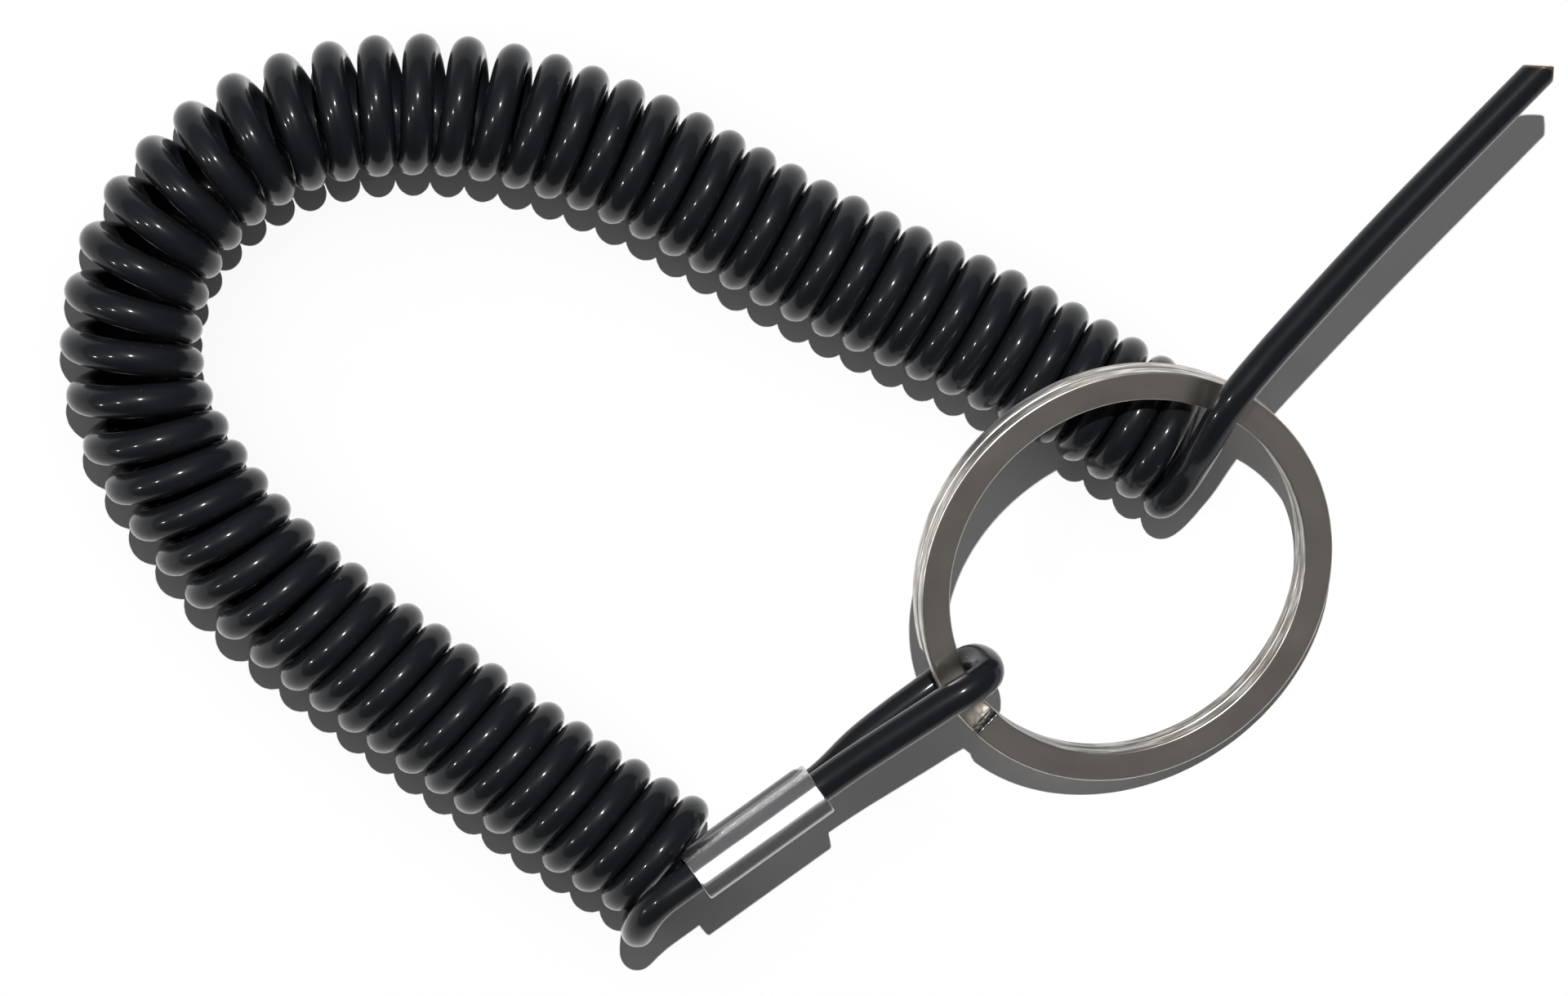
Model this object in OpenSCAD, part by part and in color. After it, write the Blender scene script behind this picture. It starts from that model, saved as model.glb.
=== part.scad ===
// Coiled key tether lying in a U: a tight curl of solid plastic cord, whose one end makes an eye
// that is crimped in a metal sleeve and holds a split key ring. The other end is a free tail that
// passes up through the ring. X runs to the right, Y away from the viewer and Z up from the table.

/* [Cord] */
// Diameter of the solid plastic cord
cord_d = 2.65; // [2.2:0.05:2.7]

/* [Coil] */
// Diameter of a turn, between cord centres
turn_d = 8.8; // [8:0.1:9.2]
// Room left between one turn and the next
turn_gap = 0.1; // [0.1:0.05:0.6]
// How far the first turn bulges out, beside the sleeve
first_turn_bulge = 1.4; // [0:0.1:1.6]

/* [Sleeve] */
// Length of the crimped sleeve
sleeve_l = 12.2; // [10:0.1:13]
// Wall outside each of its two bores
sleeve_wall = 0.7; // [0.65:0.05:0.8]
// How far the crimp has pushed its outside off the bores, to the right of its length
crimp_shift = 0.15; // [0:0.05:0.2]
// Web between its two bores
sleeve_web = 0.3; // [0.2:0.05:0.5]
// Chamfer round both of its ends
sleeve_edge = 0.35; // [0.1:0.05:0.4]
// Chamfer at the mouths of its bores
mouth_edge = 0.08; // [0.04:0.01:0.09]
// Height of the sleeve's middle above the table
sleeve_z = 10; // [9.8:0.1:10.4]
// How far the crimp's flash line stands out of each side
flash_h = 0.2; // [0.1:0.05:0.4]
// Thickness of the flash line
flash_t = 0.5; // [0.3:0.05:0.8]

/* [Key ring] */
// Outside diameter of the split ring
ring_d = 35; // [34:0.5:36]
// Width of the flat wire, measured along the ring's radius
wire_w = 2.4; // [2:0.1:2.6]
// Thickness of the flat wire
wire_t = 1.15; // [0.9:0.05:1.2]
// Gap between the ring's two turns
wire_gap = 0.1; // [0.05:0.05:0.2]
// Chamfer along the wire's edges
wire_chamfer = 0.25; // [0.1:0.05:0.35]
// Slope of the ring, which leans on the cord's eye
ring_tilt = 25; // [22:1:26]
// Part of a turn, in degrees, where the wire steps from one layer to the other
step_angle = 27; // [18:1:40]

/* [Hidden] */
cord_color = "#23262b";
sleeve_color = "#b9babb";
ring_color = "#a39d94";

// The coil's axis: its start, its heading there, and then its runs. Each run has a length and the
// angle that it bends by. The turns lean over their axis by these angles at the ends of the runs.
COIL_START = [-10.4, -30.45];
COIL_HEADING = 148;
COIL_RUNS = [
    [35.5, -5], [19, -24], [17.5, -60], [17, -48], [16, -26], [14, -15], [22, 6], [23, -11.5]
];
COIL_LEANS = [1, 2.5, 8, -3.5, -8, -3, -8.5, 0, -11.5];

// Middle and heading of the sleeve, and its roll about its own length
SLEEVE_MIDDLE = [-4.35, -27.2];
SLEEVE_HEADING = 35.5;
SLEEVE_ROLL = 4;

// The cord's eye, from the sleeve's upper bore over the ring's wire and back to its lower bore
EYE_POINTS = [
    [3.4, -21.8, 11.8], [6.4, -19.8, 12.3], [9.0, -18.1, 12.7], [11.0, -16.8, 12.9], [12.7, -15.8, 12.9],
    [14.1, -14.8, 12.0], [14.1, -14.0, 9.7], [13.1, -13.8, 7.6], [11.5, -14.8, 6.8], [9.5, -16.3, 6.8],
    [6.7, -18.3, 7.3], [4.0, -20.4, 7.9]
];
// How far the cut end of the eye stands out of the lower bore
stub_l = 0.6;

// The free tail, from the coil's last turn up through the ring, over its wire and out to the tip
TAIL_POINTS = [
    [30.6, 1.7, 10.0], [31.7, 3.8, 12.3], [33.4, 7.0, 14.5], [36.3, 10.6, 14.9], [40.3, 15.1, 15.5],
    [45.9, 21.2, 16.2], [52.6, 28.1, 16.6], [58.5, 34.1, 16.8]
];
// Slope of the chisel cut at the tail's tip, away from square
tip_cut_angle = 42;
// The chisel's second cut, square to X: its distance from the middle of the first one
tip_corner = 0.6;
// Length that the tail runs on straight from the coil's end
straight_start = 0.8;

// Middle of the ring, and the way that it rises
RING_MIDDLE = [25.2, -6.7];
RING_UPHILL = 133.5;
// Where the upper layer of its wire ends, counted round from the uphill side
split_angle = 93;
// Least room between the ring and the table
table_gap = 0.05;

curl_rings = 8;
curl_sides = 6;
cord_sides = 8;
bore_sides = 64;
blend_steps = 5;
layer_steps = 44;
step_steps = 9;
layer_angle = 360 - step_angle;

cord_r = cord_d / 2;
turn_r = turn_d / 2;
turn_pitch = cord_d + turn_gap;
flat_cut = cord_d / 10;
coil_z = turn_r + cord_r - flat_cut;
bore_spacing = cord_d + sleeve_web;
sleeve_r = cord_r + sleeve_wall;
ring_h = 2 * wire_t + wire_gap;
ring_z = table_gap + ring_d / 2 * sin(ring_tilt) + ring_h / 2 * cos(ring_tilt);
run_count = len(COIL_RUNS);

function unit(v) = v / norm(v);
function heading_vector(angle) = [cos(angle), sin(angle)];
function sum_of(values, i = 0) = i == len(values) ? 0 : values[i] + sum_of(values, i + 1);

// Point at a share of an arc of this length, which bends by this angle over its whole length
function arc_point(start, heading, length, bend, share = 1) =
    let (end = heading + share * bend)
    start + length * 180 / PI / bend * [sin(end) - sin(heading), cos(heading) - cos(end)];

// Turns that fit in a run: the fanned turns stay a pitch apart on the inside of a bend
function run_turns(i) =
    let (lean_change = COIL_LEANS[i + 1] - COIL_LEANS[i])
    let (fan = abs(COIL_RUNS[i][1] - lean_change) * PI / 180)
    (COIL_RUNS[i][0] - turn_r * fan) * cos((COIL_LEANS[i] + COIL_LEANS[i + 1]) / 2) / turn_pitch;

turns_that_fit = [for (i = [0 : run_count - 1]) run_turns(i)];
// The coil starts on one side of its axis and ends on the other, so it has a half turn over
coil_turns = floor(sum_of(turns_that_fit) - 0.5) + 0.5;
turn_share = coil_turns / sum_of(turns_that_fit);

// Turns, place and heading at the start of each run
function run_starts(i = 0, turns = 0, place = COIL_START, heading = COIL_HEADING) =
    i == run_count ? [] : concat(
        [[turns, place, heading]],
        run_starts(
            i + 1,
            turns + turns_that_fit[i] * turn_share,
            arc_point(place, heading, COIL_RUNS[i][0], COIL_RUNS[i][1]),
            heading + COIL_RUNS[i][1]
        )
    );
RUN_STARTS = run_starts();

function run_at(turn, i = 0) = i == run_count - 1 || turn < RUN_STARTS[i + 1][0] ? i : run_at(turn, i + 1);
function run_share(turn, i) = (turn - RUN_STARTS[i][0]) / (turns_that_fit[i] * turn_share);

function axis_point(turn) =
    let (i = run_at(turn), share = run_share(turn, i))
    arc_point(RUN_STARTS[i][1], RUN_STARTS[i][2], COIL_RUNS[i][0], COIL_RUNS[i][1], share);

// Way that the leaning turn faces: the axis heading less the lean
function turn_heading(turn) =
    let (i = run_at(turn), share = run_share(turn, i))
    RUN_STARTS[i][2] + share * COIL_RUNS[i][1] - COIL_LEANS[i] - share * (COIL_LEANS[i + 1] - COIL_LEANS[i]);

// Cord centre on the left-handed coil, after this many turns
function coil_point(turn) =
    let (middle = axis_point(turn), outward = heading_vector(turn_heading(turn) + 90))
    let (reach = turn_r + first_turn_bulge * pow(max(0, 1 - 2 * turn), 2))
    let (across = reach * cos(360 * turn))
    [middle.x + across * outward.x, middle.y + across * outward.y, coil_z - turn_r * sin(360 * turn)];

function coil_way(turn) = unit(coil_point(turn + 0.01) - coil_point(turn));

function bezier(a, b, c, d, t) =
    let (s = 1 - t)
    s * s * s * a + 3 * s * s * t * b + 3 * s * t * t * c + t * t * t * d;

// Points between two ends that each have a way to run, without the ends themselves
function blend_points(from, from_way, to, to_way) =
    let (handle = 0.4 * norm(to - from))
    [for (i = [1 : blend_steps - 1])
        bezier(from, from + handle * from_way, to - handle * to_way, to, i / blend_steps)];

// Smooth run through the points of a route, with this many steps from one point to the next
function smooth(points, steps) = concat(
    [for (i = [0 : len(points) - 2], k = [0 : steps - 1])
        let (before = points[max(i - 1, 0)], a = points[i], b = points[i + 1], t = k / steps)
        let (after = points[min(i + 2, len(points) - 1)])
        let (start_way = (b - before) / (i == 0 ? 1 : 2), end_way = (after - a) / (i == len(points) - 2 ? 1 : 2))
        bezier(a, a + start_way / 3, b - end_way / 3, b, t)],
    [points[len(points) - 1]]
);

function way_at(path, i) = unit(path[min(i + 1, len(path) - 1)] - path[max(i - 1, 0)]);

// Corners of the cord's section at one point of a path; its flats face along the given side
function section(path, i, side, sides) =
    let (way = way_at(path, i), flat = unit(side - (side * way) * way), up = cross(way, flat))
    [for (k = [0 : sides - 1]) path[i] + cord_r * (cos(360 * k / sides) * up + sin(360 * k / sides) * flat)];

function tube_sections(path, side_list, sides) =
    [for (i = [0 : len(path) - 1]) section(path, i, side_list[i], sides)];

module tube(sections) {
    sides = len(sections[0]);
    last = len(sections) - 1;
    walls = [for (i = [0 : last - 1], k = [0 : sides - 1])
        let (a = i * sides + k, b = i * sides + (k + 1) % sides)
        each [[a, a + sides, b], [b, a + sides, b + sides]]];
    start_cap = [for (k = [1 : sides - 2]) [0, k, k + 1]];
    end_cap = [for (k = [1 : sides - 2]) [last * sides, last * sides + k + 1, last * sides + k]];
    polyhedron([for (s = sections) each s], concat(walls, start_cap, end_cap), convexity = 10);
}

// Sleeve frame: its own length, its side and the way from the lower bore to the upper one
sleeve_way = [cos(SLEEVE_HEADING), sin(SLEEVE_HEADING), 0];
sleeve_side = [-sin(SLEEVE_HEADING), cos(SLEEVE_HEADING), 0];
sleeve_up = cos(SLEEVE_ROLL) * [0, 0, 1] - sin(SLEEVE_ROLL) * sleeve_side;
sleeve_middle = [SLEEVE_MIDDLE.x, SLEEVE_MIDDLE.y, sleeve_z];

// Point in a bore: level 1 is the upper bore and -1 the lower one
function bore_point(along, level) = sleeve_middle + along * sleeve_way + level * bore_spacing / 2 * sleeve_up;

coil_mouth = bore_point(-sleeve_l / 2, 1);
lead_end = coil_mouth - cord_d * sleeve_way;
tail_way = unit(TAIL_POINTS[1] - TAIL_POINTS[0]);
curl_steps = curl_rings * coil_turns;
COIL_PATH = concat(
    [coil_mouth, lead_end],
    blend_points(lead_end, -sleeve_way, coil_point(0), coil_way(0)),
    [for (k = [0 : curl_steps]) coil_point(k / curl_rings)],
    blend_points(coil_point(coil_turns), coil_way(coil_turns), TAIL_POINTS[0], tail_way),
    [TAIL_POINTS[0], TAIL_POINTS[1]]
);
// The flats of the cord's section face the neighbouring turns
lead_rings = 2 + blend_steps - 1;
COIL_SIDES = [for (k = [0 : len(COIL_PATH) - 1])
    let (turn = min(max(k - lead_rings, 0), curl_steps) / curl_rings, angle = turn_heading(turn))
    [cos(angle), sin(angle), 0]];
COIL_SECTIONS = tube_sections(COIL_PATH, COIL_SIDES, curl_sides);

// Least gap of the coil's tube to itself, between corners of sections at least six rings apart
ring_gaps = [for (i = [0 : len(COIL_PATH) - 1], j = [i + 6 : 1 : len(COIL_PATH) - 1])
    if (norm(COIL_PATH[i] - COIL_PATH[j]) < 1.6 * cord_d)
        min([for (p = COIL_SECTIONS[i], q = COIL_SECTIONS[j]) norm(p - q)])];
echo(coil_turns = coil_turns, least_gap_of_the_coil = min(ring_gaps));

// The coil, from the sleeve's mouth to the straight end that the tail goes on from, cut flat by a
// block under the table that reaches further than the coil is long
module cord_coil() {
    reach = sum_of([for (run = COIL_RUNS) run[0]]);
    color(cord_color) difference() {
        tube(COIL_SECTIONS);
        translate([-reach, -reach, -reach]) cube([2 * reach, 2 * reach, reach]);
    }
}

// The eye, from the sleeve's mouth through the upper bore, round the ring and back through the lower bore
module cord_eye() {
    loop = concat([bore_point(sleeve_l / 2, 1)], EYE_POINTS, [bore_point(sleeve_l / 2, -1)]);
    path = concat([coil_mouth], smooth(loop, 2), [bore_point(-sleeve_l / 2 - stub_l, -1)]);
    color(cord_color) tube(tube_sections(path, [for (p = path) sleeve_side], cord_sides));
}

// Block that takes away what lies beyond a place, on the side that this heading points to
module chisel(place, heading) {
    block = 8 * cord_d;
    translate(place) rotate([0, 0, heading]) translate([0, -block / 2, -block / 2]) cube(block);
}

// The tail, which goes on from the coil's straight end to a tip that two chisel cuts leave
module cord_tail() {
    route = smooth([for (i = [1 : len(TAIL_POINTS) - 1]) TAIL_POINTS[i]], 2);
    tip = route[len(route) - 1];
    tip_way = way_at(route, len(route) - 1);
    path = concat(
        [route[0], route[0] + straight_start * tail_way],
        [for (i = [2 : len(route) - 1]) route[i]],
        [tip + cord_d * tip_way]
    );
    color(cord_color) difference() {
        tube(tube_sections(path, [for (p = path) [0, 0, 1]], cord_sides));
        chisel(tip, atan2(tip_way.y, tip_way.x) + tip_cut_angle);
        chisel(tip + [tip_corner, 0, 0], 0);
    }
}

// Half of a bar's side view: out to this radius, and chamfered at both ends
function bar_side(radius) = [
    [0, 0], [radius - sleeve_edge, 0], [radius, sleeve_edge],
    [radius, sleeve_l - sleeve_edge], [radius - sleeve_edge, sleeve_l], [0, sleeve_l]
];

module round_bar() {
    rotate_extrude($fn = bore_sides) polygon(bar_side(sleeve_r));
}

module flat_bar(half_width, depth) {
    rotate([90, 0, 0]) linear_extrude(depth, center = true) {
        polygon(bar_side(half_width));
        mirror([1, 0]) polygon(bar_side(half_width));
    }
}

module bore() {
    mouth_r = cord_r + 2 * mouth_edge;
    rotate_extrude($fn = bore_sides) polygon([
        [0, -mouth_edge], [mouth_r, -mouth_edge], [cord_r, mouth_edge],
        [cord_r, sleeve_l - mouth_edge], [mouth_r, sleeve_l + mouth_edge], [0, sleeve_l + mouth_edge]
    ]);
}

// Two bores in one oval sleeve, with the flash line that the crimping jaws leave on both sides
module crimp_ferrule() {
    color(sleeve_color)
    translate(sleeve_middle) rotate([0, 0, SLEEVE_HEADING]) rotate([SLEEVE_ROLL, 0, 0])
    rotate([90, 0, 90]) translate([0, 0, -sleeve_l / 2]) difference() {
        translate([-crimp_shift, 0, 0]) {
            for (level = [-1, 1]) translate([0, level * bore_spacing / 2, 0]) round_bar();
            flat_bar(sleeve_r, bore_spacing);
            flat_bar(sleeve_r + flash_h, flash_t);
        }
        for (level = [-1, 1]) translate([0, level * bore_spacing / 2, 0]) bore();
    }
}

// Corners of the wire's section at a number of degrees along the wire. The wire goes round once in
// the upper layer, steps down to the lower one and goes round again.
function wire_section(degrees) =
    let (outer = ring_d / 2, inner = outer - wire_w, c = wire_chamfer)
    let (step_share = min(max((degrees - layer_angle) / step_angle, 0), 1))
    let (bottom = (wire_t + wire_gap) * (1 + cos(180 * step_share)) / 2 - ring_h / 2, top = bottom + wire_t)
    let (angle = split_angle + degrees)
    [for (p = [
        [inner + c, bottom], [outer - c, bottom], [outer, bottom + c], [outer, top - c],
        [outer - c, top], [inner + c, top], [inner, top - c], [inner, bottom + c]
    ]) [p.x * cos(angle), p.x * sin(angle), p.y]];

// The split ring: one flat wire, wound twice round
module split_ring() {
    layer = [for (k = [0 : layer_steps - 1]) layer_angle * k / layer_steps];
    step = [for (k = [0 : step_steps - 1]) layer_angle + step_angle * k / step_steps];
    lower_layer = [for (k = [0 : layer_steps]) 360 + layer_angle * k / layer_steps];
    color(ring_color)
    translate([RING_MIDDLE.x, RING_MIDDLE.y, ring_z]) rotate([0, 0, RING_UPHILL]) rotate([0, -ring_tilt, 0])
        tube([for (degrees = concat(layer, step, lower_layer)) wire_section(degrees)]);
}

split_ring();
crimp_ferrule();
cord_coil();
cord_eye();
cord_tail();
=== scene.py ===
"""Looks of a coiled key tether: a curled plastic cord, a crimped sleeve and a split key ring.

Sizes below are in millimetres and turn into metres where a mesh is made. Materials work in metres.
X runs to the right, Y away from the viewer and Z up from the table.
"""

import bmesh
import bpy
import numpy as np
from mathutils import Matrix, Vector


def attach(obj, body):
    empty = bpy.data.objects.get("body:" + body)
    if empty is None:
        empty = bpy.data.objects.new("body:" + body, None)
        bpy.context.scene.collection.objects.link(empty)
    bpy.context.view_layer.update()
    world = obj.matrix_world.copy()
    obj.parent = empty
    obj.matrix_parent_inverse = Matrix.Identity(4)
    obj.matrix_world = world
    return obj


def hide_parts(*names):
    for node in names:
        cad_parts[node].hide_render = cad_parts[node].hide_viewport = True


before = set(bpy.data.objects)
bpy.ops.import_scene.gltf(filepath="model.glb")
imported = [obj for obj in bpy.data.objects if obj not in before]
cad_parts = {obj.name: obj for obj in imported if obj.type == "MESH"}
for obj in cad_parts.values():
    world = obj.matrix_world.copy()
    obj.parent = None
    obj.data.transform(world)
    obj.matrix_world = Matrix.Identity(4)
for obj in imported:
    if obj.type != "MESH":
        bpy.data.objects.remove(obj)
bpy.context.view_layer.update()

MM = 0.001
Y_AXIS = np.array([0.0, 1.0, 0.0])
Z_AXIS = np.array([0.0, 0.0, 1.0])

# ---------------------------------------------------------------- sizes, as in the part's source

cord_d = 2.65
turn_d = 8.8
turn_gap = 0.1
first_turn_bulge = 1.4

sleeve_l = 12.2
sleeve_web = 0.3
sleeve_z = 10
mouth_edge = 0.08

ring_d = 35
wire_w = 2.4
wire_t = 1.15
wire_gap = 0.1
ring_tilt = np.radians(25)
step_angle = 27

# The coil's axis is a chain of arcs. Each run is a length and a bend in degrees, and the turns
# lean over the axis by coil_leans at the ends of the runs.
coil_start = np.array([-10.4, -30.45])
coil_heading = 148
coil_runs = np.array(
    [[35.5, -5], [19, -24], [17.5, -60], [17, -48], [16, -26], [14, -15], [22, 6], [23, -11.5]]
)
coil_leans = np.array([1, 2.5, 8, -3.5, -8, -3, -8.5, 0, -11.5])

sleeve_middle = np.array([-4.35, -27.2, sleeve_z])
sleeve_heading = np.radians(35.5)
sleeve_roll = np.radians(4)

# From the sleeve's upper bore over the ring's wire and back to the lower bore
eye_points = np.array(
    [
        [3.4, -21.8, 11.8], [6.4, -19.8, 12.3], [9.0, -18.1, 12.7], [11.0, -16.8, 12.9],
        [12.7, -15.8, 12.9], [14.1, -14.8, 12.0], [14.1, -14.0, 9.7], [13.1, -13.8, 7.6],
        [11.5, -14.8, 6.8], [9.5, -16.3, 6.8], [6.7, -18.3, 7.3], [4.0, -20.4, 7.9],
    ]
)  # fmt: skip
stub_l = 0.6

# Up through the ring, over its wire and out to the cut end
tail_points = np.array(
    [
        [30.6, 1.7, 10.0], [31.7, 3.8, 12.3], [33.4, 7.0, 14.5], [36.3, 10.6, 14.9],
        [40.3, 15.1, 15.5], [45.9, 21.2, 16.2], [52.6, 28.1, 16.6], [58.5, 34.1, 16.8],
    ]
)  # fmt: skip
tip_cut_heading = np.radians(87)
tip_corner = 0.6

ring_middle = np.array([25.2, -6.7])
ring_uphill = np.radians(133.5)
split_angle = 93
table_gap = 0.05

cord_r = cord_d / 2
turn_r = turn_d / 2
turn_pitch = cord_d + turn_gap
flat_cut = cord_d / 10
coil_z = turn_r + cord_r - flat_cut
bore_spacing = cord_d + sleeve_web
ring_h = 2 * wire_t + wire_gap
ring_z = table_gap + ring_d / 2 * np.sin(ring_tilt) + ring_h / 2 * np.cos(ring_tilt)

# ---------------------------------------------------------------- camera

# The camera stands far off, so that the view has almost no perspective
view_way = np.array([-0.0480, 0.0506, 0.9976])
view_distance = 3000
view_middle = np.array([-1.55, -1.15, 0])
pixels_per_mm = 15.26
image_width = 1920
sensor_width = 36


def make_camera():
    """Camera on the line view_way from view_middle, with Y pointing up in the image."""
    across = np.cross(Y_AXIS, view_way)
    across /= np.linalg.norm(across)
    turned = Matrix(np.column_stack([across, np.cross(view_way, across), view_way]).tolist())
    data = bpy.data.cameras.new("camera")
    data.sensor_width = sensor_width
    data.lens = sensor_width * pixels_per_mm * view_distance / image_width
    camera = bpy.data.objects.new("camera", data)
    place = Matrix.Translation((view_middle + view_distance * view_way) * MM)
    camera.matrix_world = place @ turned.to_4x4()
    bpy.context.scene.collection.objects.link(camera)
    bpy.context.scene.camera = camera


make_camera()

# ---------------------------------------------------------------- routes and skins

merge_distance = 0.001


def unit(vectors):
    """Vectors divided by their lengths."""
    return vectors / np.linalg.norm(vectors, axis=-1, keepdims=True)


def heading_vector(angle):
    """Level unit vector at an angle in radians from X."""
    return np.stack([np.cos(angle), np.sin(angle), np.zeros_like(angle)], axis=-1)


def bezier(a, b, c, d, t):
    """Cubic curve through a and d that leaves towards b and arrives from c, at shares t."""
    t = t[:, None]
    return (1 - t) ** 3 * a + 3 * (1 - t) ** 2 * t * b + 3 * (1 - t) * t**2 * c + t**3 * d


def smooth_route(points, steps, first_way=None, last_way=None):
    """Smooth curve through points: one cubic from each point to the next, whose way at a point
    is half the step from the point before it to the one after it."""
    ways = np.gradient(points, axis=0)
    if first_way is not None:
        ways[0] = first_way * np.linalg.norm(ways[0])
    if last_way is not None:
        ways[-1] = last_way * np.linalg.norm(ways[-1])
    t = np.arange(steps) / steps
    parts = [
        bezier(a, a + u / 3, b - v / 3, b, t)
        for a, b, u, v in zip(points[:-1], points[1:], ways[:-1], ways[1:])
    ]
    return np.concatenate(parts + [points[-1:]])


def even_steps(route, step):
    """The same route with points an even distance apart, near the step."""
    run = np.concatenate([[0], np.cumsum(np.linalg.norm(np.diff(route, axis=0), axis=1))])
    places = np.linspace(0, run[-1], int(run[-1] / step) + 2)
    return np.column_stack([np.interp(places, run, route[:, axis]) for axis in range(3)])


def smooth_step(x):
    """0 below 0, 1 above 1 and 3x^2 - 2x^3 between them."""
    x = np.clip(x, 0, 1)
    return x * x * (3 - 2 * x)


def tube_faces(rings, sides, first=0):
    """Quads between neighbouring rings of a grid that closes round its sides, whose points start
    at the index first."""
    ring, side = np.meshgrid(np.arange(rings - 1), np.arange(sides), indexing="ij")
    a = first + ring * sides + side
    b = first + ring * sides + (side + 1) % sides
    return np.stack([a, b, b + sides, a + sides], axis=-1).reshape(-1, 4).tolist()


def skin_faces(rings, sides):
    """Faces of a tube, and fans of triangles from its first and last rings to two poles that
    follow its points."""
    side = np.arange(sides)
    next_side = (side + 1) % sides
    last_ring = (rings - 1) * sides
    poles = rings * sides
    start = np.stack([np.full(sides, poles), next_side, side], axis=-1)
    end = np.stack([np.full(sides, poles + 1), last_ring + side, last_ring + next_side], axis=-1)
    return tube_faces(rings, sides) + start.tolist() + end.tolist()


def skin_points(grid):
    """Points of a grid [ring, side], with the middles of its first and last rings after them."""
    return np.concatenate([grid.reshape(-1, 3), grid[:1].mean(axis=1), grid[-1:].mean(axis=1)])


def make_piece(name, points, faces, material, body, replaced):
    """Smooth-shaded mesh from points in millimetres, which rides on a body and stands for CAD
    nodes."""
    mesh = bpy.data.meshes.new(name)
    mesh.from_pydata((points * MM).tolist(), [], faces)
    mesh.shade_smooth()
    mesh.materials.append(material)
    piece = bpy.data.objects.new(name, mesh)
    bpy.context.scene.collection.objects.link(piece)
    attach(piece, body)
    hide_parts(*replaced)
    return piece


def merge_points(piece):
    """Merges a piece's points that coincide, and turns its faces outwards."""
    mesh = bmesh.new()
    mesh.from_mesh(piece.data)
    bmesh.ops.remove_doubles(mesh, verts=mesh.verts, dist=merge_distance * MM)
    bmesh.ops.recalc_face_normals(mesh, faces=mesh.faces)
    mesh.to_mesh(piece.data)
    mesh.free()


def add_place(piece, name, places):
    """Stores where each point lies on the straightened piece, in metres, for its material."""
    stored = piece.data.attributes.new(name, "FLOAT_VECTOR", "POINT")
    stored.data.foreach_set("vector", (places * MM).astype(np.float32).ravel())


# ---------------------------------------------------------------- materials


def new_material(name, **values):
    """Principled material with the given values on its own sockets."""
    material = bpy.data.materials.new(name)
    material.use_nodes = True
    shader = material.node_tree.nodes["Principled BSDF"]
    for socket, value in values.items():
        shader.inputs[socket.replace("_", " ")].default_value = value
    return material


def add_node(tree, kind, inputs, **settings):
    """New node with settings, whose inputs take either a value or another node's output."""
    node = tree.nodes.new(kind)
    for setting, value in settings.items():
        setattr(node, setting, value)
    for socket, value in inputs.items():
        if isinstance(value, bpy.types.NodeSocket):
            tree.links.new(value, node.inputs[socket])
        else:
            node.inputs[socket].default_value = value
    return node


def stretched(tree, source, scale):
    """A place multiplied by a scale along each axis."""
    return add_node(tree, "ShaderNodeMapping", {"Vector": source, "Scale": scale}).outputs["Vector"]


def noise(tree, place, scale, detail=3.0, roughness=0.5):
    """Soft noise from 0 to 1, in cells of 1 / scale metres."""
    inputs = {"Vector": place, "Scale": scale, "Detail": detail, "Roughness": roughness}
    return add_node(tree, "ShaderNodeTexNoise", inputs).outputs["Fac"]


def remap(tree, value, low, high, new_low, new_high):
    """Value taken from the range low to high to the range new_low to new_high."""
    inputs = {"Value": value, "From Min": low, "From Max": high, "To Min": new_low, "To Max": new_high}
    return add_node(tree, "ShaderNodeMapRange", inputs, clamp=True).outputs["Result"]


def mix_colours(tree, share, first, second):
    """First colour, going over to the second as the share goes to 1."""
    # The node's factor is input 0, and its colours are inputs 6 and 7 and output 2
    inputs = {0: share, 6: first, 7: second}
    return add_node(tree, "ShaderNodeMix", inputs, data_type="RGBA").outputs[2]


def calculate(tree, operation, first, second=0.0):
    """Sum, product or other operation on one or two values."""
    return add_node(tree, "ShaderNodeMath", {0: first, 1: second}, operation=operation).outputs[0]


def grey(tree, value):
    """Grey colour of this value."""
    return add_node(tree, "ShaderNodeCombineColor", {0: value, 1: value, 2: value}).outputs["Color"]


def bump(tree, height, distance, normal=None):
    """Normal of a surface raised by height times a distance in metres."""
    inputs = {"Height": height, "Distance": distance, "Strength": 1.0}
    if normal is not None:
        inputs["Normal"] = normal
    return add_node(tree, "ShaderNodeBump", inputs).outputs["Normal"]


def own_place(tree, name):
    """The piece's stored place on its straightened form."""
    return add_node(tree, "ShaderNodeAttribute", {}, attribute_name=name).outputs["Vector"]


def split_place(tree, place):
    """The X, Y and Z of a place."""
    return add_node(tree, "ShaderNodeSeparateXYZ", {"Vector": place}).outputs


def feed_shader(material, **sources):
    """Links node outputs to the shader's sockets."""
    shader = material.node_tree.nodes["Principled BSDF"]
    for socket, source in sources.items():
        material.node_tree.links.new(source, shader.inputs[socket.replace("_", " ")])


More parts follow.
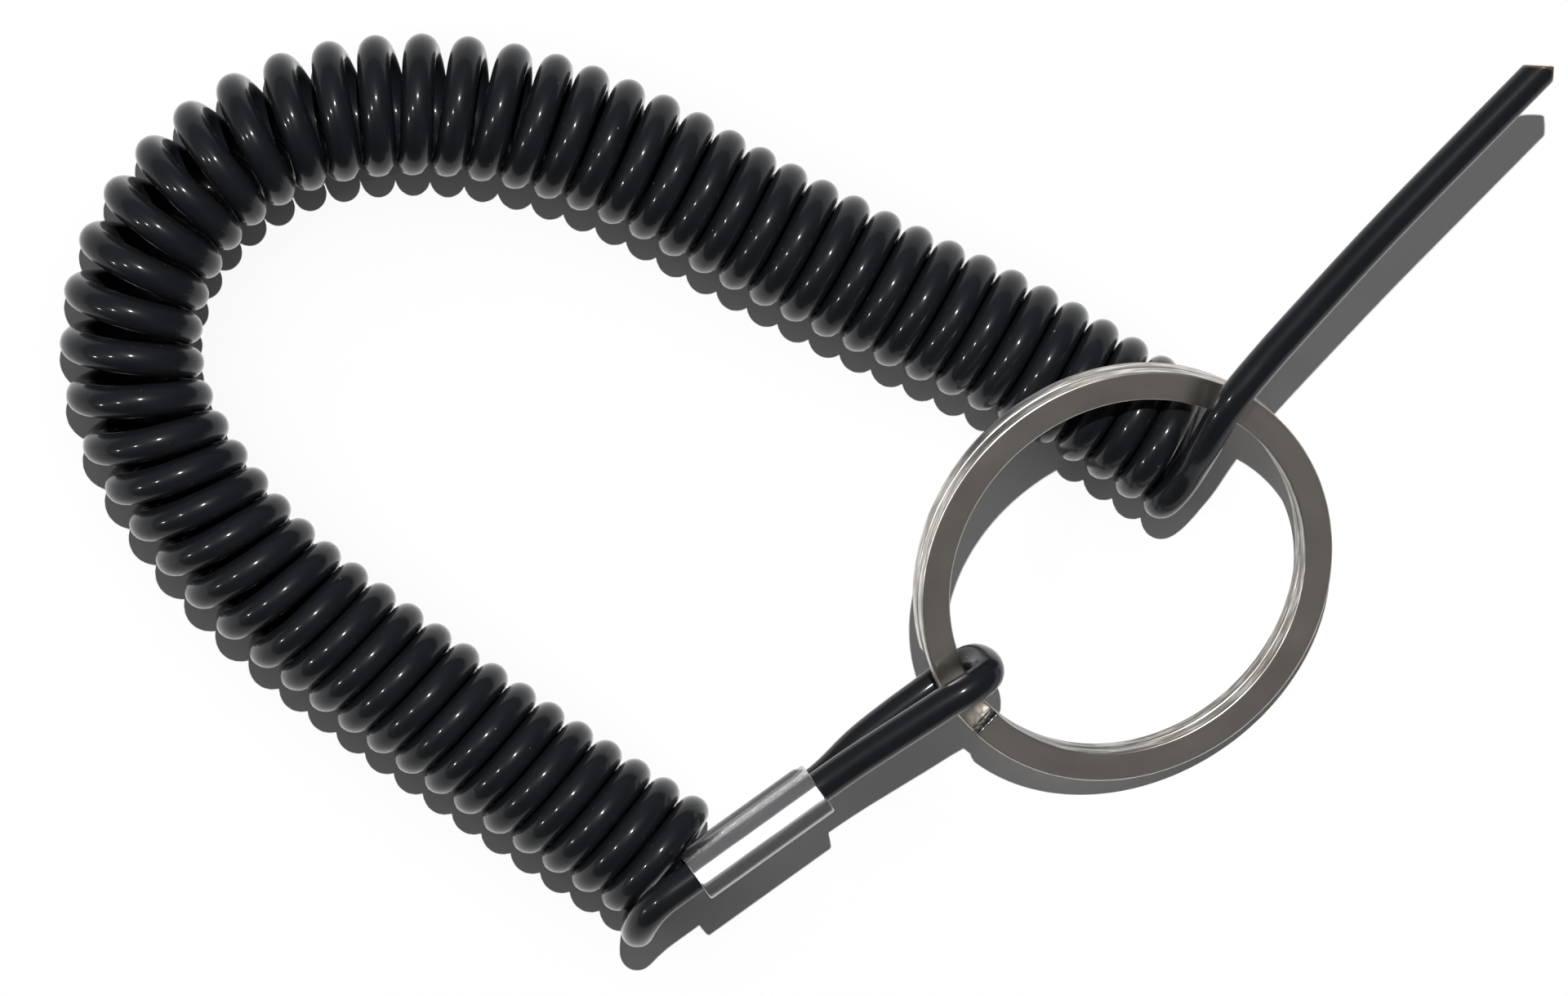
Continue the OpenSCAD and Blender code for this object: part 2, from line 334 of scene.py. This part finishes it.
def make_cord_plastic(cut_run):
    """Blue-black plastic with a satin body under a clear gloss, faint flow lines along the cord,
    a little dust, and a browner cut end from cut_run metres along the cord."""
    material = new_material(
        "cord_plastic_detailed",
        IOR=1.4,
        Specular_IOR_Level=0.11,
        Coat_Weight=1.0,
        Coat_Roughness=0.12,
        Coat_IOR=1.24,
    )
    tree = material.node_tree
    place = own_place(tree, "cord_place")
    clouds = noise(tree, place, 260.0)
    streaks = noise(tree, stretched(tree, place, (1, 1, 0.03)), 3200.0, 2.0)
    ripple = noise(tree, stretched(tree, place, (1, 1, 0.5)), 520.0, 2.0)
    specks = add_node(tree, "ShaderNodeTexVoronoi", {"Vector": place, "Scale": 900.0})
    near_speck = remap(tree, specks.outputs["Distance"], 0.04, 0.09, 1.0, 0.0)
    dusty = remap(tree, noise(tree, place, 700.0, 1.0), 0.60, 0.66, 0.0, 1.0)
    dust = calculate(tree, "MULTIPLY", near_speck, dusty)
    plain = mix_colours(tree, clouds, (0.0070, 0.0085, 0.0108, 1), (0.0098, 0.0115, 0.0142, 1))
    colour = mix_colours(tree, dust, plain, (0.16, 0.16, 0.17, 1))
    cut = remap(tree, split_place(tree, place)["Z"], cut_run - 0.0002, cut_run, 0.0, 1.0)
    colour = mix_colours(tree, cut, colour, (0.11, 0.075, 0.045, 1))
    gloss = remap(tree, streaks, 0.35, 0.65, 0.38, 0.46)
    roughness = calculate(tree, "ADD", gloss, calculate(tree, "MULTIPLY", dust, 0.3))
    normal = bump(tree, ripple, 0.000006)
    normal = bump(tree, streaks, 0.000001, normal=normal)
    feed_shader(material, Base_Color=colour, Roughness=roughness, Normal=normal)
    return material


def make_ring_nickel():
    """Satin nickel on spring steel: fine lines round the ring, faint clouds and small pits. Its narrow
    sides carry light and dark streaks, partly rubbing and partly painted reflection, darker on the
    inner side than on the outer one, and its cut ends are dark with bright chips."""
    material = new_material("ring_nickel_detailed", Metallic=1.0)
    tree = material.node_tree
    place = own_place(tree, "wire_place")
    lines = noise(tree, stretched(tree, place, (1, 1, 0.02)), 9000.0, 2.0, 0.6)
    clouds = noise(tree, stretched(tree, place, (1, 1, 0.4)), 420.0, 4.0)
    grain = noise(tree, place, 5200.0, 2.0, 0.6)
    parts = split_place(tree, place)
    from_centre = calculate(tree, "ABSOLUTE", parts["X"])
    side = remap(tree, from_centre, (wire_w / 2 - 0.12) * MM, (wire_w / 2 - 0.02) * MM, 0.0, 1.0)
    plain = mix_colours(tree, clouds, (0.62, 0.57, 0.505, 1), (0.70, 0.65, 0.585, 1))
    middle_run = wire_run * MM / 2
    from_middle = calculate(tree, "ABSOLUTE", calculate(tree, "SUBTRACT", parts["Z"], middle_run))
    cut = remap(tree, from_middle, middle_run - 0.00025, middle_run - 0.0001, 0.0, 1.0)
    chips = remap(tree, noise(tree, place, 3000.0, 2.0, 0.6), 0.5, 0.6, 0.08, 0.5)
    bare = calculate(tree, "MAXIMUM", side, cut)
    # Painted reflection: light and dark streaks along the narrow sides, mixed with rubbing, darker on
    # the inner side than on the outer one
    rub_and_reflection_noise = noise(tree, stretched(tree, place, (0.3, 1, 0.12)), 2600.0, 2.0, 0.6)
    rub_and_reflection_mask = remap(tree, rub_and_reflection_noise, 0.45, 0.65, 0.0, 1.0)
    outside = remap(tree, parts["X"], 0.0, 0.0001, 0.0, 1.0)
    inner = mix_colours(tree, rub_and_reflection_mask, (0.21, 0.2, 0.185, 1), (0.56, 0.54, 0.51, 1))
    outer = mix_colours(tree, rub_and_reflection_mask, (0.4, 0.385, 0.36, 1), (0.86, 0.83, 0.79, 1))
    colour = mix_colours(tree, side, plain, mix_colours(tree, outside, inner, outer))
    colour = mix_colours(tree, cut, colour, grey(tree, chips))
    satin = remap(tree, clouds, 0.3, 0.7, 0.27, 0.35)
    roughness = calculate(tree, "ADD", satin, calculate(tree, "MULTIPLY", bare, 0.1))
    normal = bump(tree, lines, 0.000003)
    normal = bump(tree, grain, 0.000002, normal=normal)
    feed_shader(material, Base_Color=colour, Roughness=roughness, Normal=normal)
    return material


def make_ferrule_metal():
    """Drawn aluminium: fine lines along the sleeve, small dents, and a near-white line on the shoulder
    over the wider fin, partly scratches and partly a painted reflection."""
    material = new_material("ferrule_metal_detailed", Metallic=1.0)
    tree = material.node_tree
    place = own_place(tree, "sleeve_place")
    lines = noise(tree, stretched(tree, place, (1, 1, 0.03)), 7000.0, 2.0, 0.6)
    dents = noise(tree, stretched(tree, place, (1, 1, 0.6)), 900.0, 3.0)
    clouds = noise(tree, place, 420.0, 4.0)
    # Painted reflection: a near-white line along the shoulder, with scratches in it
    past_shoulder = calculate(tree, "SUBTRACT", split_place(tree, place)["X"], scratch_and_reflection_side * MM)
    from_shoulder = calculate(tree, "ABSOLUTE", past_shoulder)
    rub_and_reflection_mask = remap(tree, from_shoulder, 0.00008, 0.00026, 1.0, 0.0)
    nicks = noise(tree, stretched(tree, place, (1, 1, 0.5)), 4200.0, 2.0, 0.6)
    scratches_and_reflection = calculate(tree, "MULTIPLY", rub_and_reflection_mask, remap(tree, nicks, 0.5, 0.62, 0.0, 1.0))
    plain = mix_colours(tree, clouds, (0.41, 0.41, 0.415, 1), (0.49, 0.49, 0.50, 1))
    colour = mix_colours(tree, scratches_and_reflection, plain, (0.9, 0.9, 0.91, 1))
    roughness = remap(tree, lines, 0.3, 0.7, 0.26, 0.34)
    normal = bump(tree, dents, 0.000008)
    normal = bump(tree, lines, 0.000001, normal=normal)
    normal = bump(tree, scratches_and_reflection, 0.00003, normal=normal)
    feed_shader(material, Base_Color=colour, Roughness=roughness, Normal=normal)
    return material


# ---------------------------------------------------------------- cord

sleeve_way = heading_vector(sleeve_heading)
sleeve_side = heading_vector(sleeve_heading + np.pi / 2)
sleeve_up = np.cos(sleeve_roll) * Z_AXIS - np.sin(sleeve_roll) * sleeve_side

# The cord's skin: the distance between its rings, the steps that its stretches are drawn in, the
# reach of a blend's handles over its span, and the way that the section faces along the tail
cord_step = 0.63
route_steps = 40
turn_steps = 44
lead_steps = 13
rise_steps = 16
handle_share = 0.4
cord_sides = 30
tail_side_heading = np.radians(-45)

# Its ends: the radius and rings of their rounded edges, the shares of the radius at which rings
# lie inside those, and the steps that the tail's last stretch replaces and the rings that it has
tip_round = 0.12
edge_rings = 6
centre_shares = [0.7, 0.45, 0.2]
cap_rings = edge_rings + len(centre_shares)
stretched_steps = 6
stretched_rings = 9


def bore_point(along, level):
    """Point in a bore: level 1 is the upper bore and -1 the lower one."""
    return sleeve_middle + along * sleeve_way + level * bore_spacing / 2 * sleeve_up


def arc_step(heading, length, bend, share):
    """Step from the start of an arc to a share of it: its radius times the change of
    (sin, -cos) of its heading. Heading and bend are in degrees."""
    start, end = np.radians(heading), np.radians(heading + share * bend)
    radius = length / np.radians(bend)
    change = np.stack([np.sin(end) - np.sin(start), np.cos(start) - np.cos(end)], axis=-1)
    return radius[..., None] * change


# Turns that fit each run: its length less what the inner side of the bend takes, over the pitch
# of leaning turns. They are scaled to make a whole number of turns and a half.
run_length, run_bend = coil_runs.T
run_fan = np.radians(np.abs(run_bend - np.diff(coil_leans)))
run_lean = np.radians((coil_leans[:-1] + coil_leans[1:]) / 2)
fitting_turns = (run_length - turn_r * run_fan) * np.cos(run_lean) / turn_pitch
coil_turns = np.floor(fitting_turns.sum() - 0.5) + 0.5
run_turns = fitting_turns * coil_turns / fitting_turns.sum()
start_turns = np.concatenate([[0], np.cumsum(run_turns)[:-1]])
start_headings = coil_heading + np.concatenate([[0], np.cumsum(run_bend)[:-1]])
run_steps = arc_step(start_headings, run_length, run_bend, np.ones(len(coil_runs)))
start_places = coil_start + np.concatenate([[[0, 0]], np.cumsum(run_steps, axis=0)[:-1]])


def run_and_share(turns):
    """Run of the coil's axis that holds each turn, and how far along it the turn is."""
    run = np.clip(np.searchsorted(start_turns, turns, side="right") - 1, 0, len(coil_runs) - 1)
    return run, (turns - start_turns[run]) / run_turns[run]


def turn_heading(turns):
    """Way that a leaning turn faces, in radians: its axis heading less its lean."""
    run, share = run_and_share(turns)
    lean = coil_leans[run] + share * (coil_leans[run + 1] - coil_leans[run])
    return np.radians(start_headings[run] + share * run_bend[run] - lean)


def coil_points(turns):
    """Left-handed coil: axis + reach cos(a) outward - turn radius sin(a) up, with a = 2 pi turns.
    Below its axis a turn is shallower by the flat cut, so that the round cord rests on the table."""
    run, share = run_and_share(turns)
    axis = start_places[run] + arc_step(start_headings[run], run_length[run], run_bend[run], share)
    angle = 2 * np.pi * turns
    reach = turn_r + first_turn_bulge * np.maximum(0, 1 - 2 * turns) ** 2
    outward = heading_vector(turn_heading(turns) + np.pi / 2)
    points = (reach * np.cos(angle))[:, None] * outward
    points[:, :2] += axis
    drop = np.where(np.sin(angle) > 0, turn_r - flat_cut, turn_r) * np.sin(angle)
    points[:, 2] = coil_z - drop
    return points


def blend_route(start, start_way, end, end_way, steps):
    """Points inside a cubic between two ends that each have a way to run."""
    handle = handle_share * np.linalg.norm(end - start)
    t = np.arange(1, steps) / steps
    return bezier(start, start + handle * start_way, end - handle * end_way, end, t)


def cord_route():
    """Middle of the cord from its stub at the sleeve's lower bore, round the eye, back through
    the upper bore, along the coil and out along the tail. Gives the points and the side that the
    section faces at each: the sleeve's side, then the coil's heading, then the tail's side."""
    stub_end = bore_point(-sleeve_l / 2 - stub_l, -1)
    lower_end, upper_end = (bore_point(sleeve_l / 2, level) for level in (-1, 1))
    eye = np.concatenate([[lower_end], eye_points[::-1], [upper_end]])
    eye = smooth_route(eye, route_steps, sleeve_way, -sleeve_way)
    mouth = bore_point(-sleeve_l / 2, 1)
    lead_end = mouth - cord_d * sleeve_way
    before = even_steps(np.concatenate([[stub_end], eye, [mouth, lead_end]]), cord_step)
    turns = np.linspace(0, coil_turns, int(coil_turns * turn_steps) + 1)
    coil = coil_points(turns)
    first_way = unit(coil[1] - coil[0])
    last_way = unit(coil[-1] - coil[-2])
    lead = blend_route(lead_end, -sleeve_way, coil[0], first_way, lead_steps)
    tail_way = unit(tail_points[1] - tail_points[0])
    rise = blend_route(coil[-1], last_way, tail_points[0], tail_way, rise_steps)
    tail = even_steps(smooth_route(tail_points, route_steps, tail_way), cord_step)
    coil_side = heading_vector(turn_heading(turns))
    lead_share = smooth_step(np.arange(1, lead_steps) / lead_steps)[:, None]
    rise_share = smooth_step(np.arange(1, rise_steps) / rise_steps)[:, None]
    tail_side = heading_vector(tail_side_heading)
    sides = np.concatenate(
        [
            np.tile(sleeve_side, (len(before), 1)),
            (1 - lead_share) * sleeve_side + lead_share * coil_side[0],
            coil_side,
            (1 - rise_share) * coil_side[-1] + rise_share * tail_side,
            np.tile(tail_side, (len(tail), 1)),
        ]
    )
    return np.concatenate([before, lead, coil, rise, tail]), sides


def cord_surface(path, sides):
    """Tube round the path: path + cord radius (cos a up + sin a flat), where flat is the side
    made square to the way and up is the way x flat. Over the last stretched_steps of the path,
    each line of the tube runs straight to the nearer of the chisel cut's two planes. Both ends
    close over a small rounded edge."""
    way = unit(np.gradient(path, axis=0))
    flat = unit(sides - (sides * way).sum(axis=1, keepdims=True) * way)
    up = np.cross(way, flat)
    angle = 2 * np.pi * np.arange(cord_sides) / cord_sides
    spokes = np.cos(angle)[None, :, None] * up[:, None] + np.sin(angle)[None, :, None] * flat[:, None]
    tube = path[:, None] + cord_r * spokes

    # Shares of the radius over each end, and how far the rounding has dropped there
    swing = np.linspace(0, np.pi / 2, edge_rings)
    edge_share = np.concatenate([1 - tip_round / cord_r * (1 - np.cos(swing)), centre_shares])
    edge_share = edge_share[:, None, None]
    edge_drop = np.concatenate([tip_round * (1 - np.sin(swing)), np.zeros(len(centre_shares))])
    edge_drop = edge_drop[:, None, None]

    start = path[0] + edge_share[::-1] * cord_r * spokes[0] + edge_drop[::-1] * way[0]

    base = len(path) - 1 - stretched_steps
    tip_way, tip_spokes = way[-1], spokes[-1]
    cut_ways = heading_vector(np.array([tip_cut_heading, 0]))
    cut_places = np.array([cut_ways[0] @ path[-1], path[-1, 0] + tip_corner])

    def reach_to_cut(points):
        """Distance from points along the tip's way to the nearer cutting plane."""
        return ((cut_places - points @ cut_ways.T) / (cut_ways @ tip_way)).min(axis=-1)

    base_ring = path[base] + cord_r * tip_spokes
    reach = reach_to_cut(base_ring) - tip_round
    share = (np.arange(1, stretched_rings + 1) / stretched_rings)[:, None]
    stretch = base_ring + (share * reach)[..., None] * tip_way
    cap = path[base] + edge_share * cord_r * tip_spokes
    cap = cap + (reach_to_cut(cap)[..., None] - edge_drop) * tip_way
    return np.concatenate([start[:-1], tube[1 : base + 1], stretch, cap[1:]])


def straight_places(grid):
    """Place of each point on the straightened cord: radius (cos a, sin a) and the run along it."""
    middles = grid.mean(axis=1)
    run = np.concatenate([[0], np.cumsum(np.linalg.norm(np.diff(middles, axis=0), axis=1))])
    radius = np.linalg.norm(grid - middles[:, None], axis=2)
    angle = 2 * np.pi * np.arange(grid.shape[1]) / grid.shape[1]
    return np.stack(
        [radius * np.cos(angle), radius * np.sin(angle), np.broadcast_to(run[:, None], radius.shape)],
        axis=-1,
    )


def make_cord():
    """The whole cord as one piece on the tether's body, with its places on the straightened cord
    stored for its material.
    """
    path, sides = cord_route()
    grid = cord_surface(path, sides)
    places = straight_places(grid)
    piece = make_piece(
        "curled_cord",
        skin_points(grid),
        skin_faces(*grid.shape[:2]),
        make_cord_plastic(places[-cap_rings, 0, 2] * MM),
        "tether",
        ("cord_coil", "cord_eye", "cord_tail"),
    )
    add_place(piece, "cord_place", skin_points(places))


make_cord()

# ---------------------------------------------------------------- split ring

# Radius and points of the rounded edges along the wire, and radius and rings of those round its
# ends, the step between its other rings, and its length as an angle and along its outside
wire_round = 0.18
corner_sides = 10
end_edge = 0.1
end_edge_rings = 5
degree_step = 1.5
wire_degrees = 720 - step_angle
wire_run = np.radians(wire_degrees) * ring_d / 2


def wire_section():
    """Outline of the flat wire, (across, up) from its middle: a rectangle whose corners are
    quarter circles."""
    swing = np.linspace(0, np.pi / 2, corner_sides)
    corners = []
    for quarter, corner in enumerate([(1, 1), (-1, 1), (-1, -1), (1, -1)]):
        middle = np.array(corner) * [wire_w / 2 - wire_round, wire_t / 2 - wire_round]
        angle = swing + quarter * np.pi / 2
        corners.append(middle + wire_round * np.column_stack([np.cos(angle), np.sin(angle)]))
    return np.concatenate(corners)


def ring_surface():
    """The wire's outline carried twice round the ring: at d degrees along the wire it lies at the
    angle split_angle + d, in the upper layer for one turn less the step, then it falls along a
    cosine to the lower layer. Its ends close over rounded edges. The ring leans by ring_tilt."""
    swing = np.linspace(0, np.pi / 2, end_edge_rings)
    edge = np.degrees(end_edge * (1 - np.cos(swing)) / (ring_d / 2))
    plain = np.linspace(degree_step, wire_degrees - degree_step, int(wire_degrees / degree_step))
    degrees = np.concatenate([edge, plain, wire_degrees - edge[::-1]])
    fall = np.clip((degrees - (360 - step_angle)) / step_angle, 0, 1)
    height = (wire_t + wire_gap) * np.cos(np.pi * fall) / 2

    from_end = np.radians(np.minimum(degrees, wire_degrees - degrees)) * ring_d / 2
    before_plain = end_edge - np.minimum(from_end, end_edge)
    drawn_in = end_edge - np.sqrt(end_edge**2 - before_plain**2)
    outline = wire_section()
    across = outline[:, 0] * (1 - drawn_in[:, None] / (wire_w / 2))
    up = outline[:, 1] * (1 - drawn_in[:, None] / (wire_t / 2)) + height[:, None]

    angle = np.radians(split_angle + degrees)[:, None]
    radius = ring_d / 2 - wire_w / 2 + across
    flat = np.stack([radius * np.cos(angle), radius * np.sin(angle), up], axis=-1)
    uphill = heading_vector(ring_uphill)
    slope = np.cos(ring_tilt) * uphill + np.sin(ring_tilt) * Z_AXIS
    level = heading_vector(ring_uphill + np.pi / 2)
    axis = np.cos(ring_tilt) * Z_AXIS - np.sin(ring_tilt) * uphill
    grid = flat @ np.array([slope, level, axis]) + [*ring_middle, ring_z]
    run = np.broadcast_to(np.radians(degrees)[:, None] * ring_d / 2, across.shape)
    return grid, np.stack([across, up, run], axis=-1)


def make_ring():
    """The split ring, one wire wound twice round, on the ring's body."""
    grid, places = ring_surface()
    piece = make_piece(
        "wound_ring",
        skin_points(grid),
        skin_faces(*grid.shape[:2]),
        make_ring_nickel(),
        "ring",
        ("split_ring",),
    )
    add_place(piece, "wire_place", skin_points(places))


make_ring()

# ---------------------------------------------------------------- crimped sleeve

# Upper half of the sleeve's section, (side, up) from the middle between its bores: from the flash
# fin on one side, over a flattened crown, down to the other side
sleeve_points = np.array(
    [
        [1.70, 0.00], [1.71, 0.60], [1.70, 1.25], [1.63, 1.81], [1.50, 2.13], [1.32, 2.41],
        [1.08, 2.70], [0.80, 2.97], [0.52, 3.18], [0.17, 3.27], [-0.18, 3.35], [-0.45, 3.41],
        [-0.70, 3.43], [-1.02, 3.40], [-1.38, 3.29], [-1.72, 3.11], [-1.97, 2.89], [-2.11, 2.60],
        [-2.16, 2.20], [-2.17, 1.60], [-2.17, 1.00], [-2.16, 0.50],
    ]
)  # fmt: skip
section_middle = (sleeve_points[0, 0] + sleeve_points[-1, 0]) / 2

# The flash fin: its thickness, its reach on either side and how far from an end it fades
fin_thickness = 0.17
fin_reach = [0.45, 0.02]
fin_fade = 0.9

# The side at which the scratches and the painted reflection line lie, and the rounding of the ends
scratch_and_reflection_side = 1.42
end_round = 0.2
wall_share = 0.6

# Steps between the section's points, and the rings and steps of the skin and the bores
outline_steps = 4
end_rings = 8
plain_rings = 36
plain_start = 0.7
web_steps = 26
mouth_rings = 5
face_shares = [0, 0.4, 0.8]


def sleeve_outline():
    """Closed outline of the sleeve's section, (side, up): the smooth upper half, and the same
    half turned by 180 degrees round section_middle."""
    turned = [2 * section_middle, 0] - sleeve_points
    loop = np.concatenate([sleeve_points, turned, sleeve_points[:1]])
    ways = (np.roll(loop[:-1], -1, axis=0) - np.roll(loop[:-1], 1, axis=0)) / 2
    ways = np.concatenate([ways, ways[:1]])
    t = np.arange(outline_steps) / outline_steps
    parts = [
        bezier(a, a + u / 3, b - v / 3, b, t)
        for a, b, u, v in zip(loop[:-1], loop[1:], ways[:-1], ways[1:])
    ]
    return np.concatenate(parts)


def loop_outward(loop):
    """Unit normals of a closed loop of (side, up) points that runs from side towards up."""
    way = unit(np.roll(loop, -1, axis=0) - np.roll(loop, 1, axis=0))
    return np.column_stack([way[:, 1], -way[:, 0]])


def sleeve_skin(outline):
    """Outer skin (side, up, along): the outline carried along the sleeve. The flash fin stands
    reach * exp(-(up / thickness)^4) out of either side and fades at the ends. Each end is drawn
    in over a quarter circle, whose radius is the least of end_round and wall_share of the wall."""
    outward = loop_outward(outline)
    bore_up = np.where(outline[:, 1] >= 0, bore_spacing / 2, -bore_spacing / 2)
    wall = np.hypot(outline[:, 0], outline[:, 1] - bore_up) - cord_r
    edge = np.minimum(end_round, wall_share * wall)
    swing = np.linspace(0, np.pi / 2, end_rings)[:, None]
    start = edge * (1 - np.cos(swing))
    drawn = edge * (1 - np.sin(swing))
    plain = np.linspace(plain_start, sleeve_l - plain_start, plain_rings)
    plain = np.tile(plain[:, None], (1, len(outline)))
    along = np.concatenate([start, plain, sleeve_l - start[::-1]])
    draw = np.concatenate([drawn, np.zeros(plain.shape), drawn[::-1]])
    fade = smooth_step(np.minimum(along, sleeve_l - along) / fin_fade)
    reach = np.where(outline[:, 0] > section_middle, *fin_reach)
    fin = reach * np.exp(-((outline[:, 1] / fin_thickness) ** 4)) * fade
    points = outline - draw[..., None] * outward
    points[..., 0] += np.sign(outline[:, 0]) * fin
    return np.concatenate([points, along[..., None] - sleeve_l / 2], axis=-1)


def bore_skin(rim, level):
    """Flat ends and bore on one side of the web, (side, up, along): from the end's rim, closed
    along the web's middle, straight in to the bore's mouth, over its rounded edge, through the
    bore and out in the same way."""
    web = np.linspace(rim[-1], rim[0], web_steps)[1:-1]
    loop = np.concatenate([rim, web])
    middle = np.array([0, level * bore_spacing / 2])
    spokes = unit(loop - middle)
    swing = np.linspace(0, np.pi / 2, mouth_rings)
    radius = cord_r + mouth_edge * (1 - np.sin(swing))
    mouth = middle + radius[:, None, None] * spokes
    face = loop + np.array(face_shares)[:, None, None] * (mouth[0] - loop)
    points = np.concatenate([face, mouth, mouth[::-1], face[::-1]])
    depth = np.concatenate([np.zeros(len(face_shares)), mouth_edge * (1 - np.cos(swing))])
    along = np.concatenate([depth, sleeve_l - depth[::-1]]) - sleeve_l / 2
    along = np.broadcast_to(along[:, None, None], points[..., :1].shape)
    return np.concatenate([points, along], axis=-1)


def make_sleeve():
    """The crimped sleeve: its skin and its two bores, merged where they meet."""
    skin = sleeve_skin(sleeve_outline())
    rim = skin[0, :, :2]
    half = len(rim) // 2
    upper_rim = rim[: half + 1]
    lower_rim = np.concatenate([rim[half:], rim[:1]])
    grids = [skin, bore_skin(upper_rim, 1), bore_skin(lower_rim, -1)]
    firsts = np.cumsum([0] + [grid.shape[0] * grid.shape[1] for grid in grids])
    faces = []
    for grid, first in zip(grids, firsts):
        faces += tube_faces(*grid.shape[:2], first)
    places = np.concatenate([grid.reshape(-1, 3) for grid in grids])
    axes = np.array([sleeve_side, sleeve_up, sleeve_way])
    piece = make_piece(
        "pressed_sleeve",
        sleeve_middle + places @ axes,
        faces,
        make_ferrule_metal(),
        "tether",
        ("crimp_ferrule",),
    )
    merge_points(piece)
    points = np.empty(3 * len(piece.data.vertices))
    piece.data.vertices.foreach_get("co", points)
    add_place(piece, "sleeve_place", (points.reshape(-1, 3) / MM - sleeve_middle) @ axes.T)


make_sleeve()

# ---------------------------------------------------------------- table, light and background

# How far the table reaches from the origin
table_reach = 1500

# Ways towards the window and the panel, and the room's light away from the window and towards it
window_way = (-0.5, 0.87, 0)
panel_way = (0.557, -0.587, 0.588)
far_light = 0.025
window_light = 0.25
panel_light = 0.12

# Angle across each distant lamp, in degrees
lamp_angle = 0.6


def make_table():
    """Plain pale table under the part."""
    material = new_material("table_white", Base_Color=(0.93, 0.93, 0.93, 1), Roughness=0.6)
    mesh = bpy.data.meshes.new("table")
    corners = np.array([(-1, -1, 0), (1, -1, 0), (1, 1, 0), (-1, 1, 0)]) * table_reach
    mesh.from_pydata((corners * MM).tolist(), [], [(0, 1, 2, 3)])
    mesh.materials.append(material)
    table = bpy.data.objects.new("table", mesh)
    bpy.context.scene.collection.objects.link(table)


def make_sun(name, travel, strength, diffuse=True):
    """Distant lamp whose light travels this way. One without diffuse light makes glints only."""
    data = bpy.data.lights.new(name, "SUN")
    data.energy = strength
    data.angle = np.radians(lamp_angle)
    lamp = bpy.data.objects.new(name, data)
    lamp.rotation_euler = Vector(travel).to_track_quat("-Z", "Y").to_euler()
    lamp.visible_diffuse = diffuse
    bpy.context.scene.collection.objects.link(lamp)


def make_world():
    """Dim room, brighter towards the window behind the part, with a soft panel that the ring's
    face shows. The camera sees it white."""
    world = bpy.data.worlds.new("room")
    world.use_nodes = True
    tree = world.node_tree
    background = tree.nodes["Background"]
    way = add_node(tree, "ShaderNodeTexCoord", {}).outputs["Generated"]

    def towards(lit_way):
        """Cosine of the angle between the way looked and a lit way."""
        inputs = {0: way, 1: lit_way}
        return add_node(tree, "ShaderNodeVectorMath", inputs, operation="DOT_PRODUCT").outputs["Value"]

    room = remap(tree, towards(window_way), -0.45, 0.75, far_light, window_light)
    panel = remap(tree, towards(panel_way), 0.75, 0.97, 0.0, panel_light)
    seen = add_node(tree, "ShaderNodeLightPath", {}).outputs["Is Camera Ray"]
    light = calculate(tree, "MAXIMUM", calculate(tree, "ADD", room, panel), seen)
    tree.links.new(light, background.inputs["Strength"])
    background.inputs["Color"].default_value = (0.97, 0.97, 1, 1)
    bpy.context.scene.world = world


make_table()
make_world()
make_sun("key_light", (0.028, -0.295, -1), 3.05)
make_sun("glint_left", (0.584, 0.051, -0.810), 0.9, diffuse=False)
make_sun("glint_far_left", (0.879, 0.270, -0.393), 0.6, diffuse=False)

bpy.context.scene.view_settings.view_transform = "Standard"
